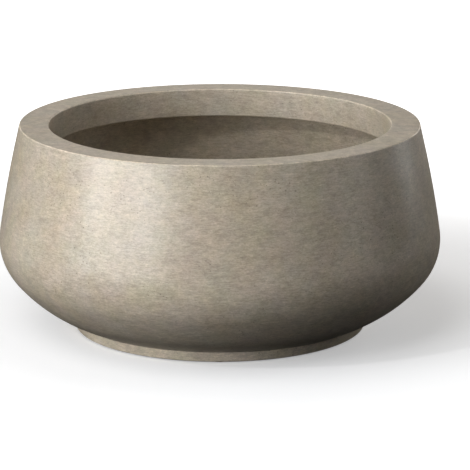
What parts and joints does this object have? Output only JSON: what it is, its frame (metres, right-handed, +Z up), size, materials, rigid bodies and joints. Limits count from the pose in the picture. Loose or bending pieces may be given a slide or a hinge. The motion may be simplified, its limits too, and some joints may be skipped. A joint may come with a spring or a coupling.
{
  "type": "bowl planter",
  "caption": "Low round concrete bowl planter with a flat turned-in rim, a rounded belly, a recessed foot ring, plugged drain holes and rubber pads under its foot.",
  "frame": {"origin": "on the bowl's axis, at the ground that the pads under the foot stand on", "axes": "+Z up along the bowl's axis, from the foot to the rim; +X and +Y level, with -Y towards the viewer of the picture"},
  "size_m": [0.5999, 0.6, 0.2815],
  "materials": {
    "fibre_concrete": "matte",
    "rubber": "matte"
  },
  "bodies": {
    "bowl": {"bowl_shell": "fibre_concrete", "floor_pad_1": "rubber", "floor_pad_2": "rubber", "floor_pad_3": "rubber", "floor_pad_4": "rubber", "floor_pad_5": "rubber", "floor_pad_6": "rubber"},
    "plug_1": {"drain_plug_1": "rubber"},
    "plug_2": {"drain_plug_2": "rubber"},
    "plug_3": {"drain_plug_3": "rubber"}
  },
  "joints": [
    {"name": "plug_1_lift", "type": "slide", "parent": "bowl", "child": "plug_1", "axis": [0, 0, 1], "range_m": [0, 0.29]},
    {"name": "plug_2_lift", "type": "slide", "parent": "bowl", "child": "plug_2", "axis": [0, 0, 1], "range_m": [0, 0.29]},
    {"name": "plug_3_lift", "type": "slide", "parent": "bowl", "child": "plug_3", "axis": [0, 0, 1], "range_m": [0, 0.29]}
  ]
}
